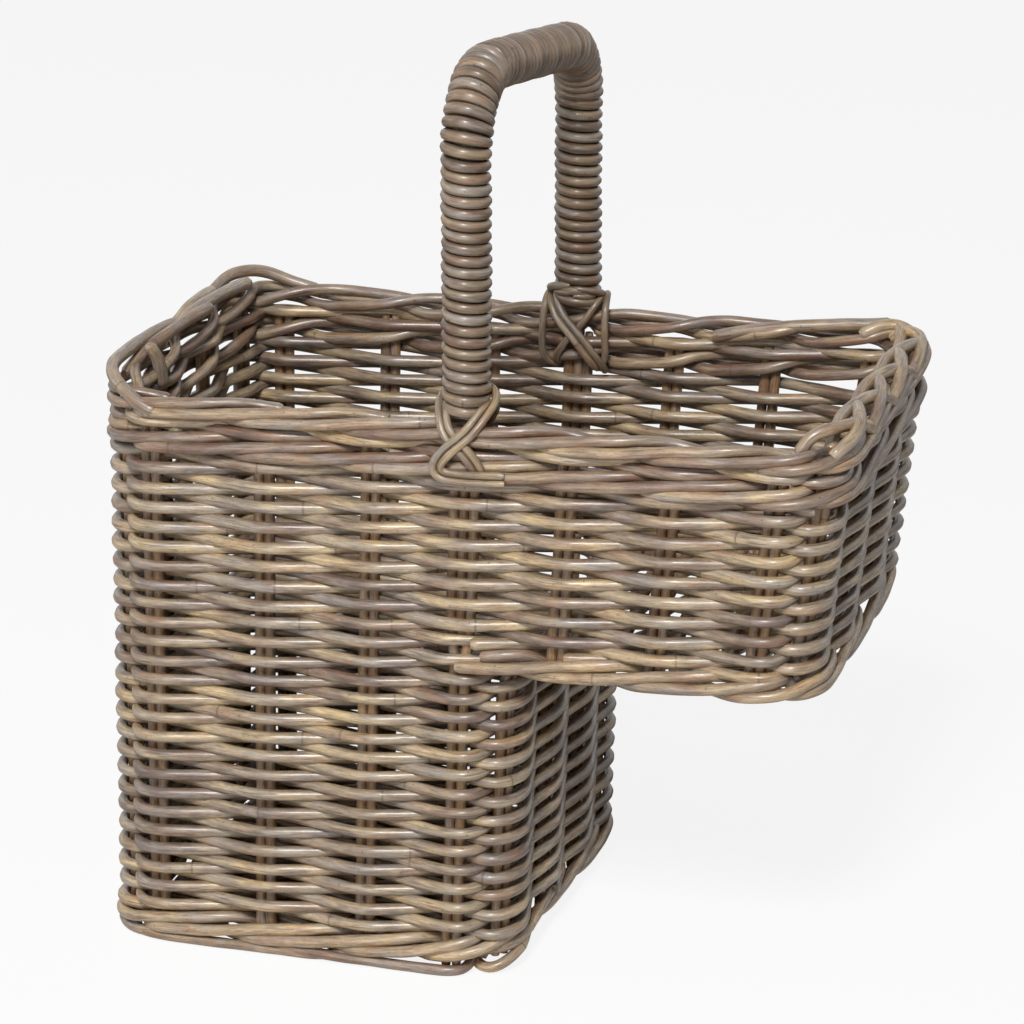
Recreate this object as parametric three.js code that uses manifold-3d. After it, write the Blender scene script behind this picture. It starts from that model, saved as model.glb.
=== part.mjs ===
// Stair basket woven from grey rattan: a deep bin and a shelf that sits one riser higher.
// Millimetres, +Z up, +X from the bin to the shelf, -Y the long front wall.
import * as THREE from "three";
import { mergeVertices } from "three/addons/utils/BufferGeometryUtils.js";
import Module from "manifold-3d";

const wasm = await Module();
wasm.setup();

// Overall sizes
const shelfHeight = 190;
const rimHeight = 342;
const bowTopFront = 540;
const bowTopBack = 506;
const binLengthFoot = 238;
const binLengthShelf = 242;
const shelfEndBottom = 415;
const shelfEndTop = 425;
const leftDraw = 4;
const depthFoot = 226;
const depthRim = 232;
const cornerRadius = 28;
const frontBowRadius = 42;
const backBowRadius = 36;
const cutBlock = 1000;

// Where the stakes stand, from the wall lines they turn into
const firstStakeFoot = 28.5;
const firstStakeTop = 23;
const handleStakeFoot = 206;
const handleStakeTop = 217;
const lastStakeInset = 28.5;
const rightCornerInset = 15;
const leftCornerInset = 21;
const binColumnShares = [0, 0.37, 0.71, 1];

// Rods and clearances
const seatGap = 0.35;
const stakeRod = 5.5;
const weaverWidth = 6.2;
const weaverHeight = 5.45;
const rowPitch = weaverHeight + seatGap + 0.15;
const waleRod = 7;
const bindingRod = 5.2;
const bindingHeight = 6;
const lashingRod = 5;
const handleCore = 16.6;
const flatCut = 0.8;

// Counts
const longWallStakes = 7;
const binWallStakes = 4;
const endWallStakes = 4;
const stepsPerTurn = 6;
const stepRows = 3;

// How steeply a rod leaves a stake, and how far its ends stop short
const wallSlope = 0.24;
const rightCornerSlope = 0.68;
const leftCornerSlope = 0.36;
const endTrim = 0.03;

const up = new THREE.Vector3(0, 0, 1);
const pairHalfWidth = stakeRod + seatGap / 2;
const waleRise = waleRod / 2 + seatGap;
const waleHalfHeight = waleRise + waleRod / 2;
const footWaleZ = waleHalfHeight - flatCut;
const shelfWaleZ = shelfHeight + waleHalfHeight - flatCut;
const rimWaleZ = rimHeight - waleHalfHeight;
const lowerWaleZ = rimWaleZ - 2 * waleHalfHeight - 1.5 * seatGap;
const shelfFloorZ = shelfWaleZ + 4;
const binFloorZ = footWaleZ + 5;
const insideBorder = stakeRod / 2 + waleRod + 5 * seatGap + pairHalfWidth * wallSlope * 2;
const floorInset = insideBorder + weaverWidth + pairHalfWidth + 3 * seatGap;

const group = new THREE.Group();
group.name = "stair_basket";

// A path through given points, with one ring of the swept section at each of them
class RodPath extends THREE.Curve {
  constructor(points, reference) {
    super();
    this.points = points;
    this.reference = reference;
  }

  getPoint(t) {
    const place = t * (this.points.length - 1);
    const first = Math.min(Math.floor(place), this.points.length - 2);
    return this.points[first].clone().lerp(this.points[first + 1], place - first);
  }

  getSpacedPoints() {
    return this.points.map((point) => point.clone());
  }

  computeFrenetFrames() {
    const last = this.points.length - 1;
    const frames = { tangents: [], normals: [], binormals: [] };
    this.points.forEach((point, index) => {
      const before = this.points[Math.max(index - 1, 0)];
      const after = this.points[Math.min(index + 1, last)];
      const tangent = after.clone().sub(before).normalize();
      const reference = Array.isArray(this.reference) ? this.reference[index] : this.reference;
      const normal = tangent.clone().cross(reference).normalize();
      frames.tangents.push(tangent);
      frames.normals.push(normal);
      frames.binormals.push(tangent.clone().cross(normal).normalize());
    });
    return frames;
  }
}

// Sections
function roundSection(sides, width, height, turn = 0) {
  const points = [];
  for (let side = 0; side < sides; side += 1) {
    const angle = turn + (side / sides) * Math.PI * 2;
    points.push(new THREE.Vector2((Math.cos(angle) * width) / 2, (Math.sin(angle) * height) / 2));
  }
  return new THREE.Shape(points);
}

function pairSection(rod, gap, swapped = false) {
  const points = [];
  const offset = (rod + gap) / 2;
  for (const side of [1, -1]) {
    for (const degrees of [-60, 0, 60]) {
      const angle = THREE.MathUtils.degToRad(degrees);
      const across = side * (offset + (Math.cos(angle) * rod) / 2);
      const along = (side * Math.sin(angle) * rod) / 2;
      points.push(new THREE.Vector2(across, along));
    }
    points.push(new THREE.Vector2(0, side * rod * 0.26));
  }
  return new THREE.Shape(swapped ? points.map((p) => new THREE.Vector2(-p.y, p.x)) : points);
}

function sweep(section, points, reference) {
  return new THREE.ExtrudeGeometry(section, {
    steps: points.length - 1,
    bevelEnabled: false,
    curveSegments: 1,
    extrudePath: new RodPath(points, reference),
  });
}

// Wall lines at one height
function leftWall(z) {
  return (leftDraw * z) / rimHeight;
}

function riserWall(z) {
  const share = Math.min(z / shelfHeight, 1);
  return binLengthFoot + (binLengthShelf - binLengthFoot) * share;
}

function endWall(z) {
  const share = (z - shelfHeight) / (rimHeight - shelfHeight);
  return shelfEndBottom + (shelfEndTop - shelfEndBottom) * share;
}

function halfDepth(z) {
  return (depthFoot + (depthRim - depthFoot) * (z / rimHeight)) / 2;
}

// Where the long walls' stakes stand, counted from the bin's end
function longWallX(column, z) {
  const rise = z / rimHeight;
  const first = leftWall(z) + firstStakeFoot + (firstStakeTop - firstStakeFoot) * rise;
  const handle = handleStakeFoot + (handleStakeTop - handleStakeFoot) * rise;
  if (column < binWallStakes) return first + (handle - first) * binColumnShares[column];
  const last = endWall(Math.max(z, shelfHeight)) - lastStakeInset;
  return handle + ((last - handle) * (column - binWallStakes + 1)) / (longWallStakes - binWallStakes);
}

// A ring lists its stakes counter-clockwise, each with its wall
function makeRing(columns) {
  const stations = [];
  for (let column = 0; column < columns; column += 1) stations.push({ wall: "front", column });
  for (let column = 0; column < endWallStakes; column += 1) stations.push({ wall: "right", column });
  for (let column = columns - 1; column >= 0; column -= 1) stations.push({ wall: "back", column });
  for (let column = endWallStakes - 1; column >= 0; column -= 1) stations.push({ wall: "left", column });
  return { columns, stations, count: stations.length };
}

const binRing = makeRing(binWallStakes);
const wholeRing = makeRing(longWallStakes);

// The ring's midline at one height is a rectangle with rounded corners
function midline(ring, z) {
  const left = leftWall(z);
  const right = ring === binRing ? riserWall(z) : endWall(z);
  const half = halfDepth(z);
  const long = right - left - 2 * cornerRadius;
  const short = 2 * (half - cornerRadius);
  const arc = (cornerRadius * Math.PI) / 2;
  return { left, right, half, long, short, arc, around: 2 * (long + short) + 4 * arc };
}

// A point on the midline moved outward, at a distance counted from the front wall's start
function ringPoint(line, distance, offset, z) {
  const { left, right, half, long, short, arc, around } = line;
  let rest = ((distance % around) + around) % around;
  const sides = [
    { length: long, corner: [right - cornerRadius, -half + cornerRadius], out: [0, -1], along: [1, 0] },
    { length: short, corner: [right - cornerRadius, half - cornerRadius], out: [1, 0], along: [0, 1] },
    { length: long, corner: [left + cornerRadius, half - cornerRadius], out: [0, 1], along: [-1, 0] },
    { length: short, corner: [left + cornerRadius, -half + cornerRadius], out: [-1, 0], along: [0, -1] },
  ];
  const reach = cornerRadius + offset;
  for (const { length, corner, out, along } of sides) {
    const isLast = out[0] === -1;
    if (rest <= length) {
      const x = corner[0] + out[0] * reach - along[0] * (length - rest);
      const y = corner[1] + out[1] * reach - along[1] * (length - rest);
      return { point: new THREE.Vector3(x, y, z), outward: new THREE.Vector3(...out, 0) };
    }
    if (rest <= length + arc || isLast) {
      const angle = (rest - length) / cornerRadius;
      const outward = new THREE.Vector3(...out, 0).multiplyScalar(Math.cos(angle));
      outward.addScaledVector(new THREE.Vector3(...along, 0), Math.sin(angle));
      const point = new THREE.Vector3(...corner, z).addScaledVector(outward, reach);
      return { point, outward };
    }
    rest -= length + arc;
  }
}

// How far round the ring a stake stands; the short walls' outer stakes stand on the corners
function stakeDistance(ring, index, z) {
  const turn = Math.floor(index / ring.count);
  const { wall, column } = ring.stations[index - turn * ring.count];
  const line = midline(ring, z);
  const base = turn * line.around;
  const { left, right, half, long, short, arc } = line;
  const x = longWallX(column, z);
  if (wall === "front") return base + x - left - cornerRadius;
  if (wall === "back") return base + long + 2 * arc + short + (right - cornerRadius - x);
  const inset = wall === "right" ? rightCornerInset : leftCornerInset;
  const bend = cornerRadius * Math.acos(1 - inset / cornerRadius);
  const from = wall === "right" ? long : 2 * long + 2 * arc + short;
  const order = wall === "right" ? column : endWallStakes - 1 - column;
  const spacing = (2 * (half - inset)) / (endWallStakes - 1);
  if (order === 0) return base + from + bend;
  if (order === endWallStakes - 1) return base + from + 2 * arc + short - bend;
  return base + from + arc + order * spacing - (cornerRadius - inset);
}

function stakePlace(ring, index, z) {
  return ringPoint(midline(ring, z), stakeDistance(ring, index, z), 0, z);
}

// A point between two stakes, moved outward by an offset
function wallPoint(ring, index, share, offset, z) {
  const from = stakeDistance(ring, index, z);
  const to = stakeDistance(ring, index + 1, z);
  return ringPoint(midline(ring, z), from + (to - from) * share, offset, z).point;
}

function wallOf(ring, index) {
  return ring.stations[index % ring.count].wall;
}

function isLongWall(wall) {
  return wall === "front" || wall === "back";
}

// The tight step between a long wall's outer stake and the corner's stake
function isCorner(ring, index) {
  return wallOf(ring, index) !== wallOf(ring, index + 1);
}

// The share of a step that a rod still hugs the outer of the two stakes
function hugShare(ring, index, rod, z) {
  const step = stakeDistance(ring, index + 1, z) - stakeDistance(ring, index, z);
  return (pairHalfWidth + rod / 2 + seatGap) / step;
}

// How far a rod keeps off a stake, more on a corner and round the handle's three rods
function standOff(ring, index) {
  const { wall, column } = ring.stations[index % ring.count];
  const atHandle = ring === wholeRing && isLongWall(wall) && column === binWallStakes - 1;
  const halfWidth = atHandle ? pairHalfWidth + stakeRod / 2 + 2 * seatGap : pairHalfWidth;
  const onCorner = !isLongWall(wall) && (column === 0 || column === endWallStakes - 1);
  const corner = wall === "right" ? rightCornerSlope : leftCornerSlope;
  return stakeRod / 2 + seatGap + halfWidth * (onCorner ? corner : wallSlope);
}

// Materials
function material(color, roughness) {
  return new THREE.MeshStandardMaterial({ color, roughness, metalness: 0 });
}

const weaverMaterial = () => material(0xa4907a, 0.55);
const stakeMaterial = () => material(0x8a7358, 0.6);
const borderMaterial = () => material(0x9b8570, 0.55);
const baseMaterial = () => material(0x85735f, 0.65);
const coreMaterial = () => material(0x9a7f5c, 0.6);
const bindingMaterial = () => material(0x8e8072, 0.5);

function addPiece(name, geometry, pieceMaterial) {
  const mesh = new THREE.Mesh(geometry, pieceMaterial);
  mesh.name = name;
  group.add(mesh);
}

// Stakes: paired rods that stand up through the weave
const stakeTop = rimHeight - 6;
const stakeFoot = 4;

function uprightStake(index, foot, side = 0) {
  const spread = (z) => (z > shelfHeight + 20 ? stakeRod + seatGap : (stakeRod + seatGap) / 2);
  const levels = foot < shelfHeight ? [foot, shelfHeight] : [foot];
  if (side !== 0) levels.push(shelfHeight + 8, shelfHeight + 21);
  levels.push(stakeTop);
  const { outward } = stakePlace(wholeRing, index, foot < shelfHeight ? shelfHeight : foot);
  const along = outward.clone().cross(up);
  const points = levels.map((z) => (
    stakePlace(wholeRing, index, z).point.addScaledVector(along, side * spread(z))));
  const single = roundSection(8, stakeRod, stakeRod, Math.PI / 8);
  const section = side === 0 ? pairSection(stakeRod, seatGap) : single;
  return sweep(section, points, outward);
}

function floorRow(column) {
  const inner = halfDepth(shelfFloorZ) - rightCornerInset;
  const outer = halfDepth(shelfFloorZ) - floorInset;
  return [-outer, -inner / 3, inner / 3, outer][column];
}

// One pair of rods climbs the riser, carries the shelf floor and climbs the end wall
function throughStake(column) {
  const riserIndex = binWallStakes + column;
  const endIndex = longWallStakes + column;
  const bend = 9;
  const row = floorRow(column);
  const riserTop = stakePlace(binRing, riserIndex, shelfFloorZ - bend);
  const endFoot = stakePlace(wholeRing, endIndex, shelfFloorZ + bend);
  const places = [
    stakePlace(binRing, riserIndex, stakeFoot),
    riserTop,
    { point: new THREE.Vector3(riserTop.point.x + bend * 0.3, 0, shelfFloorZ - bend * 0.3) },
    { point: new THREE.Vector3(riserTop.point.x + bend, row, shelfFloorZ) },
    { point: new THREE.Vector3(endFoot.point.x - bend, row, shelfFloorZ) },
    { point: new THREE.Vector3(endFoot.point.x - bend * 0.3, 0, shelfFloorZ + bend * 0.3) },
    endFoot,
    stakePlace(wholeRing, endIndex, stakeTop),
  ];
  places[2].point.y = (riserTop.point.y + row) / 2;
  places[5].point.y = (endFoot.point.y + row) / 2;
  const acrossFloor = new THREE.Vector3(0, 1, 0);
  const references = places.map(({ outward }) => (outward ? up.clone().cross(outward) : acrossFloor));
  return sweep(pairSection(stakeRod, seatGap, true), places.map(({ point }) => point), references);
}

// Weavers: rods that pass outside one stake and inside the next, two chasing each other
function weaverPoints(ring, first, last, phase, level) {
  const points = [];
  for (let index = first; index < last; index += 1) {
    const side = (index + phase) % 2 === 0 ? 1 : -1;
    const here = (standOff(ring, index) + weaverWidth / 2) * side;
    const next = -(standOff(ring, index + 1) + weaverWidth / 2) * side;
    const start = index === first ? endTrim : 0;
    points.push(wallPoint(ring, index, start, here + (next - here) * start, level(index + start)));
    if (isCorner(ring, index)) {
      const hug = hugShare(ring, index, weaverWidth, level(index));
      const share = side > 0 ? hug : 1 - hug;
      points.push(wallPoint(ring, index, share, Math.max(here, next), level(index + share)));
    }
  }
  const side = (last + phase) % 2 === 0 ? 1 : -1;
  const offset = (standOff(ring, last) + weaverWidth / 2) * side * (1 - 2 * endTrim);
  points.push(wallPoint(ring, last - 1, 1 - endTrim, offset, level(last - endTrim)));
  return points;
}

function weaver(points) {
  return sweep(roundSection(4, weaverWidth, weaverHeight), points, up);
}

function addChasingWeavers(name, ring, bottom, top, pieces, turnStart) {
  const { count } = ring;
  const climb = (2 * rowPitch) / count;
  const steps = Math.floor((top - bottom) / climb);
  for (let start = 0; start < 2; start += 1) {
    const begin = turnStart + (start * count) / 2;
    for (let piece = 0; piece < pieces; piece += 1) {
      const first = begin + Math.round((steps * piece) / pieces);
      const last = begin + Math.round((steps * (piece + 1)) / pieces);
      const level = (place) => bottom + (place - begin) * climb;
      const points = weaverPoints(ring, first, last, start, level);
      addPiece(`${name}_weaver_${start + 1}_${piece + 1}`, weaver(points), weaverMaterial());
    }
  }
}

// Wales: three thicker rods, each outside two stakes and inside the third.
// In each step one runs on outside, one goes in above and one comes out below.
function waleState(phase, share, here, next, innerDrop, hug) {
  const high = waleRise + 0.1;
  const keys = [
    [[0, here, -waleRise], [0.5, (here + next) / 2 - 0.5, 0], [1, next, waleRise]],
    [[0, here, waleRise], [0.5, 0, high], [1, -next, innerDrop]],
    [[0, -here, innerDrop], [0.5, 0, -high], [1, next, -waleRise]],
  ][phase];
  if (hug !== null && phase !== 2) keys.splice(1, 0, [hug, here, phase === 0 ? 0.3 - waleRise : high]);
  if (hug !== null && phase !== 1) keys.splice(-1, 0, [1 - hug, next, phase === 0 ? waleRise - 0.3 : -high]);
  let after = 1;
  while (after < keys.length - 1 && keys[after][0] < share) after += 1;
  const [from, offset, rise] = keys[after - 1];
  const [to, nextOffset, nextRise] = keys[after];
  const part = to > from ? (share - from) / (to - from) : 1;
  return { offset: offset + (nextOffset - offset) * part, rise: rise + (nextRise - rise) * part };
}

function walePoints(ring, first, last, strand, centre, innerDrop) {
  const hugAt = (index) => (isCorner(ring, index) ? hugShare(ring, index, waleRod, centre) : null);
  const places = [first];
  for (let index = Math.floor(first); index < last; index += 1) {
    const hug = hugAt(index);
    const phase = (index + strand) % 3;
    const straight = phase === 0 ? [0] : [0, 0.5];
    const atCorner = [[0, hug, 0.5, 1 - hug], [0, hug, 0.5], [0, 0.5, 1 - hug]][phase];
    for (const share of hug === null ? straight : atCorner) {
      if (index + share > first + 0.1 && index + share < last - 0.1) places.push(index + share);
    }
  }
  places.push(last);
  return places.map((place) => {
    const index = Math.floor(place);
    const share = place - index;
    const here = standOff(ring, index) + waleRod / 2;
    const next = standOff(ring, index + 1) + waleRod / 2;
    const state = waleState((index + strand) % 3, share, here, next, innerDrop, hugAt(index));
    return wallPoint(ring, index, share, state.offset, centre + state.rise);
  });
}

function addWale(name, ring, first, last, centre, { innerDrop = 0, cutAt = null } = {}) {
  for (let strand = 0; strand < 3; strand += 1) {
    const points = walePoints(ring, first, last, strand, centre, innerDrop);
    const rod = sweep(roundSection(4, waleRod, waleRod), points, up);
    const geometry = cutAt === null ? rod : cutFlat(rod, cutAt);
    addPiece(`${name}_strand_${strand + 1}`, geometry, borderMaterial());
  }
}

// Boolean helpers
function toSolid(geometry) {
  const clean = geometry.clone();
  clean.deleteAttribute("normal");
  clean.deleteAttribute("uv");
  const merged = mergeVertices(clean, 1e-4);
  const vertProperties = new Float32Array(merged.attributes.position.array);
  const triVerts = new Uint32Array(merged.index.array);
  return new wasm.Manifold(new wasm.Mesh({ numProp: 3, vertProperties, triVerts }));
}

function toGeometry(solid) {
  const mesh = solid.getMesh();
  const geometry = new THREE.BufferGeometry();
  geometry.setAttribute("position", new THREE.BufferAttribute(new Float32Array(mesh.vertProperties), 3));
  geometry.setIndex(new THREE.BufferAttribute(new Uint32Array(mesh.triVerts), 1));
  return geometry;
}

function cutFlat(geometry, height) {
  const block = new THREE.BoxGeometry(cutBlock, cutBlock, cutBlock);
  block.translate(0, 0, height - cutBlock / 2);
  return toGeometry(toSolid(geometry).subtract(toSolid(block)));
}

// Floors: a weaver runs back and forth across the floor's sticks
function floorWeaver(sticks, from, to, low, high, floorZ, along) {
  const pitch = weaverWidth + seatGap + 3.6;
  const lift = stakeRod / 2 + weaverHeight / 2 + seatGap;
  const last = sticks.length - 1;
  const count = Math.floor((high - low) / pitch);
  const points = [];
  for (let pass = 0; pass <= count; pass += 1) {
    const across = low + pass * ((high - low) / count);
    const forward = pass % 2 === 0;
    const order = forward ? sticks : [...sticks].reverse();
    const ends = forward ? [from, to] : [to, from];
    const place = (run, z) => (along === "x"
      ? new THREE.Vector3(run, across, z) : new THREE.Vector3(across, run, z));
    const sideOf = (column) => ((column + pass) % 2 === 0 ? 1 : -1);
    const firstColumn = forward ? 0 : last;
    points.push(place(ends[0], floorZ + sideOf(firstColumn) * lift * 0.45));
    order.forEach((stick, index) => {
      const column = forward ? index : last - index;
      const steepness = column === 0 || column === last ? wallSlope : wallSlope / 2;
      points.push(place(stick, floorZ + sideOf(column) * (lift + pairHalfWidth * steepness)));
    });
    points.push(place(ends[1], floorZ + sideOf(last - firstColumn) * lift * 0.45));
  }
  return sweep(roundSection(4, weaverWidth, weaverHeight), points, up);
}

// Handle: a bow from the front wall to the back wall, higher at the front
const handleX = longWallX(binWallStakes - 1, rimHeight);
const handleHalf = halfDepth(rimHeight);
const bindingPath = handleCore / 2 + bindingRod / 2 + seatGap + 0.6;

// The bow's straights and bends in order, each with its start and heading
function bowParts(foot) {
  const slant = Math.atan2(bowTopBack - bowTopFront, 2 * handleHalf);
  const down = -Math.PI / 2;
  const corners = [
    { cornerY: -handleHalf, cornerZ: bowTopFront, from: -down, to: slant, radius: frontBowRadius },
    { cornerY: handleHalf, cornerZ: bowTopBack, from: slant, to: down, radius: backBowRadius },
  ];
  const parts = [];
  let y = -handleHalf;
  let z = foot;
  for (const { cornerY, cornerZ, from, to, radius } of corners) {
    const cut = radius * Math.tan((from - to) / 2);
    parts.push({ y, z, heading: from, length: Math.hypot(cornerY - y, cornerZ - z) - cut, radius: null });
    y = cornerY - Math.cos(from) * cut;
    z = cornerZ - Math.sin(from) * cut;
    parts.push({ y, z, heading: from, length: radius * (from - to), radius });
    y = cornerY + Math.cos(to) * cut;
    z = cornerZ + Math.sin(to) * cut;
  }
  parts.push({ y, z, heading: down, length: z - foot, radius: null });
  return parts;
}

function bowLength(parts) {
  return parts.reduce((sum, { length }) => sum + length, 0);
}

function bowPoint(distance, parts) {
  let rest = distance;
  let index = 0;
  while (index < parts.length - 1 && rest > parts[index].length) {
    rest -= parts[index].length;
    index += 1;
  }
  const { y, z, heading, radius } = parts[index];
  const turned = radius === null ? heading : heading - rest / radius;
  const tangent = new THREE.Vector3(0, Math.cos(turned), Math.sin(turned));
  const point = new THREE.Vector3(handleX, y, z);
  if (radius === null) return { point: point.addScaledVector(tangent, rest), tangent };
  point.y += radius * (Math.sin(heading) - Math.sin(turned));
  point.z -= radius * (Math.cos(heading) - Math.cos(turned));
  return { point, tangent };
}

function handleCorePiece() {
  const parts = bowParts(rimHeight + seatGap);
  const points = [bowPoint(0, parts).point];
  let start = 0;
  for (const { length, radius } of parts) {
    const steps = radius === null ? 1 : 4;
    for (let step = 1; step <= steps; step += 1) {
      points.push(bowPoint(start + (length * step) / steps, parts).point);
    }
    start += length;
  }
  const bow = sweep(roundSection(6, handleCore, handleCore, Math.PI / 6), points, new THREE.Vector3(1, 0, 0));
  let solid = toSolid(bow);
  for (const side of [-1, 1]) {
    const tail = [shelfFloorZ + 12, rimHeight + 4].map((z) => (
      new THREE.Vector3(longWallX(binWallStakes - 1, z), side * halfDepth(z), z)));
    const rod = sweep(roundSection(8, stakeRod, stakeRod, Math.PI / 8), tail, new THREE.Vector3(0, 1, 0));
    solid = solid.add(toSolid(rod));
  }
  return toGeometry(solid);
}

function bindingPitch(place, parts) {
  const straight = bindingHeight + 0.55;
  const blend = 4;
  let start = 0;
  for (const { length, radius } of parts) {
    const end = start + length;
    const inBend = radius !== null && place > start - blend && place < end + blend;
    if (inBend) return straight / (1 - bindingPath / radius) - 0.2;
    start = end;
  }
  return straight;
}

// A coil point, the handle's direction there and the way the coil runs
function coilPoint(place, step, parts) {
  const { point, tangent } = bowPoint(place, parts);
  const angle = (step / stepsPerTurn) * Math.PI * 2;
  const side = new THREE.Vector3(1, 0, 0);
  const face = tangent.clone().cross(side).normalize();
  const radial = side.multiplyScalar(Math.cos(angle)).addScaledVector(face, Math.sin(angle));
  const onCoil = point.clone().addScaledVector(radial, bindingPath);
  return { point: onCoil, tangent, around: tangent.clone().cross(radial) };
}

function bindingPoints() {
  const parts = bowParts(rimHeight + seatGap + bindingRod);
  const total = bowLength(parts);
  const points = [];
  const references = [];
  const addEnd = (coil, direction) => {
    points.push(coil.point.clone().addScaledVector(coil.tangent, direction * bindingRod));
    references.push(coil.around);
  };
  addEnd(coilPoint(0, 0, parts), -1);
  let place = 0;
  let step = 0;
  let last = null;
  while (place < total) {
    last = coilPoint(place, step, parts);
    points.push(last.point);
    references.push(step === 0 ? last.around : last.tangent.clone().negate());
    place += bindingPitch(place, parts) / stepsPerTurn;
    step += 1;
  }
  references[references.length - 1] = last.around;
  addEnd(last, 1);
  return { points, references };
}

function handleBindingPiece() {
  const { points, references } = bindingPoints();
  reportLeastGap("handle_binding", points, references, bindingRod, bindingHeight);
  return sweep(roundSection(4, bindingRod, bindingHeight), points, references);
}

// The least gap between neighbouring turns, measured on points of the tube's own surface
function reportLeastGap(name, points, references, width, height) {
  const frames = new RodPath(points, references).computeFrenetFrames();
  const rings = points.map((point, index) => [0, 1, 2, 3].map((corner) => {
    const angle = (corner * Math.PI) / 2;
    return point.clone()
      .addScaledVector(frames.normals[index], (Math.cos(angle) * width) / 2)
      .addScaledVector(frames.binormals[index], (Math.sin(angle) * height) / 2);
  }));
  const middles = rings.slice(1).map((ring, index) => (
    ring.map((corner, side) => corner.clone().lerp(rings[index][side], 0.5))));
  const all = rings.flatMap((ring, index) => (index < middles.length ? [ring, middles[index]] : [ring]));
  let least = Infinity;
  for (let index = 0; index < all.length; index += 1) {
    const end = Math.min(index + 4 * stepsPerTurn, all.length);
    for (let other = index + 2 * stepsPerTurn - 3; other < end; other += 1) {
      for (const a of all[index]) for (const b of all[other]) least = Math.min(least, a.distanceTo(b));
    }
  }
  console.log(`${name} turns ${(points.length / stepsPerTurn).toFixed(1)} least gap ${least.toFixed(2)} mm`);
}

// Lashing: one rod crosses itself over the border at each foot of the handle
function lashingPiece(side) {
  const faceOut = stakeRod / 2 + waleRod + seatGap + pairHalfWidth * wallSlope * 1.9 + lashingRod / 2 + seatGap;
  const overTop = rimHeight + lashingRod / 2 + 0.5;
  const spread = bindingPath + bindingRod / 2 + lashingRod / 2 + 0.7;
  const low = lowerWaleZ - waleHalfHeight;
  const route = [
    [-spread, -faceOut, rimHeight - 22],
    [-spread, -faceOut, rimHeight - 5],
    [-spread, -faceOut + 7, overTop],
    [-spread, faceOut - 6, overTop],
    [-spread + 2, faceOut, rimHeight - 7],
    [spread - 4, faceOut, low + 4],
    [spread, faceOut, low - 3],
    [spread - 6, faceOut, low - 8],
    [-spread + 6, faceOut, low - 8],
    [-spread, faceOut + 2, low - 2],
    [-spread + 5, faceOut + 4, low + 6],
    [0, faceOut + lashingRod + 0.8, low + 15],
    [spread - 5, faceOut + 3, rimHeight - 7],
    [spread, faceOut - 5, overTop],
    [spread, -faceOut + 7, overTop],
    [spread, -faceOut, rimHeight - 5],
    [spread, -faceOut, rimHeight - 22],
  ];
  const points = route.map(([x, out, z]) => (
    new THREE.Vector3(handleX + x * side * -1, side * (handleHalf + out), z)));
  const references = points.map((point, index) => {
    const before = points[Math.max(index - 1, 0)];
    const after = points[Math.min(index + 1, points.length - 1)];
    const steep = Math.abs(after.x - before.x) < 1;
    return steep ? new THREE.Vector3(1, 0, 0) : new THREE.Vector3(0, side, 0);
  });
  return sweep(roundSection(6, lashingRod, lashingRod), points, references);
}

function buildStakes() {
  const names = { front: "front_stake", back: "back_stake", left: "bin_end_stake" };
  wholeRing.stations.forEach(({ wall, column }, index) => {
    if (wall === "right") return;
    const isLong = isLongWall(wall);
    const foot = isLong && column >= binWallStakes ? shelfWaleZ - 3 : stakeFoot;
    const sides = isLong && column === binWallStakes - 1 ? [-1, 1] : [0];
    for (const side of sides) {
      const suffix = { "-1": "_a", 0: "", 1: "_b" }[side];
      addPiece(`${names[wall]}_${column + 1}${suffix}`, uprightStake(index, foot, side), stakeMaterial());
    }
  });
  for (let column = 0; column < endWallStakes; column += 1) {
    addPiece(`riser_shelf_end_stake_${column + 1}`, throughStake(column), stakeMaterial());
  }
}

function buildWalls() {
  const rowStart = footWaleZ + waleHalfHeight + weaverHeight / 2 + seatGap;
  const binTop = shelfHeight - flatCut - weaverHeight / 2 - seatGap;
  const shelfStart = binTop + (stepRows + 1) * rowPitch;
  const shelfTop = lowerWaleZ - waleHalfHeight - weaverHeight / 2 - seatGap;
  addChasingWeavers("bin", binRing, rowStart, binTop, 3, 13);
  addChasingWeavers("upper", wholeRing, shelfStart, shelfTop, 2, 19);

  const firstBack = longWallStakes + endWallStakes + (longWallStakes - binWallStakes);
  const lastFront = wholeRing.count + binWallStakes - 1;
  for (let row = 0; row < stepRows; row += 1) {
    const z = binTop + (row + 1) * rowPitch;
    const points = weaverPoints(wholeRing, firstBack, lastFront, row + 1, () => z);
    addPiece(`step_weaver_${row + 1}`, weaver(points), weaverMaterial());
  }
}

function buildWales() {
  const binEnd = binRing.count - endTrim;
  const wholeEnd = wholeRing.count - endTrim;
  const shelfFirst = binWallStakes - 1 + 0.3;
  const shelfLast = longWallStakes + endWallStakes + (longWallStakes - binWallStakes) - 0.3;
  const atShelf = { innerDrop: -4.6, cutAt: shelfHeight };
  addWale("bin_foot_wale", binRing, endTrim, binEnd, footWaleZ, { cutAt: 0 });
  addWale("shelf_foot_wale", wholeRing, shelfFirst, shelfLast, shelfWaleZ, atShelf);
  addWale("lower_rim_wale", wholeRing, endTrim, wholeEnd, lowerWaleZ);
  addWale("rim_wale", wholeRing, endTrim, wholeEnd, rimWaleZ);
}

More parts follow.
